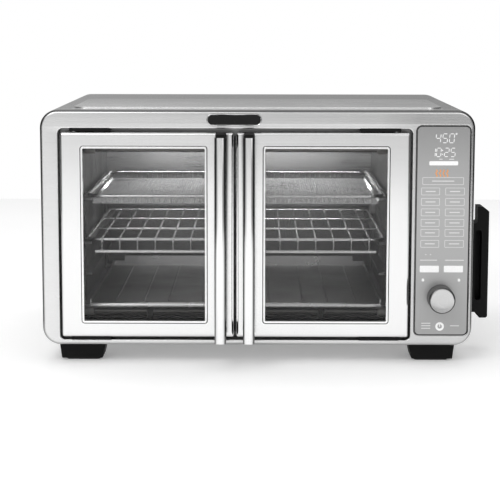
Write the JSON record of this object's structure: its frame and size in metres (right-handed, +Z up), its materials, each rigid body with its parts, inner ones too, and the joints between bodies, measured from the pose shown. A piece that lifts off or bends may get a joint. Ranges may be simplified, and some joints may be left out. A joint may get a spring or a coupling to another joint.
{
  "type": "toaster oven",
  "caption": "Countertop toaster oven with two glass doors opening from the middle, a touch panel with a knob, a fry basket, a wire rack and trays inside, on feet.",
  "frame": {"origin": "centre of the whole object's box, at the level of the table it stands on", "axes": "+X to the oven's right as seen from the front, +Y from the doors to the back, +Z up"},
  "size_m": [0.538, 0.448, 0.3016],
  "materials": {
    "front_steel": "brushed left to right",
    "cabinet_steel": "brushed",
    "galvanised_steel": "galvanised sheet",
    "cavity_steel": "bright rolled sheet",
    "door_steel": "fine brushed, glossy",
    "door_inner_steel": "satin",
    "handle_steel": "brushed along the bar",
    "trim_chrome": "polished",
    "wire_chrome": "plated wire",
    "basket_wire": "woven wire mesh",
    "tray_coated": "grey non-stick coating",
    "crumb_steel": "plain sheet",
    "heater_sheath": "dark oxidised sheath",
    "heater_ceramic": "unglazed",
    "lamp_ceramic": "unglazed",
    "lamp_glass": "frosted",
    "door_glass": "clear, tempered",
    "motor_iron": "laminated core",
    "panel_grey": "gloss with printed keys",
    "display_dark": "gloss with lit digits",
    "badge_black": "gloss, blank",
    "board_green": "solder mask",
    "black_plastic": "fine moulded texture",
    "pad_rubber": "matt",
    "black_metal": "black",
    "post_black": "satin black",
    "knob_steel": "turned",
    "knob_face": "brushed face",
    "gear_brass": "machined",
    "fan_aluminium": "stamped",
    "screw_steel": "zinc plated"
  },
  "bodies": {
    "cabinet": {"front_bezel": "front_steel", "badge": "badge_black", "cabinet_wrap": "cabinet_steel", "rear_panel": "galvanised_steel", "base_pan": "galvanised_steel", "feet": "black_plastic", "foot_pads": "pad_rubber", "cavity_left_wall": "cavity_steel", "cavity_right_wall": "cavity_steel", "cavity_floor": "cavity_steel", "cavity_ceiling": "cavity_steel", "cavity_back": "cavity_steel", "cavity_front_flange": "cavity_steel", "rack_guides_left": "cavity_steel", "rack_guides_right": "cavity_steel", "upper_heaters": "heater_sheath", "lower_heaters": "heater_sheath", "heater_insulators": "heater_ceramic", "heater_clips": "black_metal", "temperature_sensor": "cavity_steel", "oven_lamp": "lamp_ceramic", "lamp_cover": "lamp_glass", "fan_housing": "galvanised_steel", "fan_motor": "motor_iron", "control_panel": "panel_grey", "display": "display_dark", "control_board": "board_green", "power_board": "board_green", "encoder": "black_plastic", "hinge_brackets_upper": "black_metal", "hinge_brackets_lower": "black_metal", "sync_guides": "galvanised_steel", "cord_gland": "black_plastic", "side_handle": "black_plastic", "case_screws": "screw_steel"},
    "door_left": {"left_door_frame": "door_steel", "left_door_inner": "door_inner_steel", "left_door_glass": "door_glass", "left_door_trim": "trim_chrome", "left_door_handle": "handle_steel", "left_door_posts": "post_black", "left_door_pins": "screw_steel"},
    "door_right": {"right_door_frame": "door_steel", "right_door_inner": "door_inner_steel", "right_door_glass": "door_glass", "right_door_trim": "trim_chrome", "right_door_handle": "handle_steel", "right_door_posts": "post_black", "right_door_pins": "screw_steel"},
    "sync_bar": {"sync_rack_bar": "galvanised_steel"},
    "idler": {"sync_idler": "gear_brass"},
    "dial": {"knob": "knob_steel", "knob_cap": "knob_face"},
    "fan_rotor": {"fan_shaft": "screw_steel", "convection_fan": "fan_aluminium", "cooling_fan": "fan_aluminium"},
    "rack": {"wire_rack": "wire_chrome"},
    "basket": {"fry_basket": "basket_wire"},
    "tray": {"bake_tray": "tray_coated"},
    "crumbs": {"crumb_tray": "crumb_steel"}
  },
  "joints": [
    {"name": "left_door_hinge", "type": "hinge", "parent": "cabinet", "child": "door_left", "pos_m": [-0.2295, -0.173, 0.15], "axis": [0, 0, -1], "range_deg": [0, 100]},
    {"name": "right_door_hinge", "type": "hinge", "parent": "cabinet", "child": "door_right", "pos_m": [0.1475, -0.173, 0.15], "axis": [0, 0, 1], "range_deg": [0, 100]},
    {"name": "sync_bar_slide", "type": "slide", "parent": "cabinet", "child": "sync_bar", "axis": [1, 0, 0], "range_m": [0, 0.02444]},
    {"name": "idler_spin", "type": "hinge", "parent": "cabinet", "child": "idler", "pos_m": [0.1475, -0.152, 0.2865], "axis": [0, 0, -1], "range_deg": [0, 200.1]},
    {"name": "knob_turn", "type": "hinge", "parent": "cabinet", "child": "dial", "pos_m": [0.20095, -0.179, 0.08], "axis": [0, 1, 0], "continuous": true},
    {"name": "fan_spin", "type": "hinge", "parent": "cabinet", "child": "fan_rotor", "pos_m": [0.18, 0.021, 0.15], "axis": [1, 0, 0], "continuous": true},
    {"name": "rack_slide", "type": "slide", "parent": "cabinet", "child": "rack", "axis": [0, -1, 0], "range_m": [0, 0.009]},
    {"name": "basket_slide", "type": "slide", "parent": "cabinet", "child": "basket", "axis": [0, -1, 0], "range_m": [0, 0.007]},
    {"name": "bake_tray_slide", "type": "slide", "parent": "cabinet", "child": "tray", "axis": [0, -1, 0], "range_m": [0, 0.005]},
    {"name": "crumb_tray_slide", "type": "slide", "parent": "cabinet", "child": "crumbs", "axis": [0, -1, 0], "range_m": [0, 0.007]}
  ],
  "couplings": [
    {"joint": "right_door_hinge", "follows": "left_door_hinge", "ratio": 1},
    {"joint": "sync_bar_slide", "follows": "left_door_hinge", "m_per_rad": 0.014},
    {"joint": "idler_spin", "follows": "left_door_hinge", "ratio": 2}
  ]
}
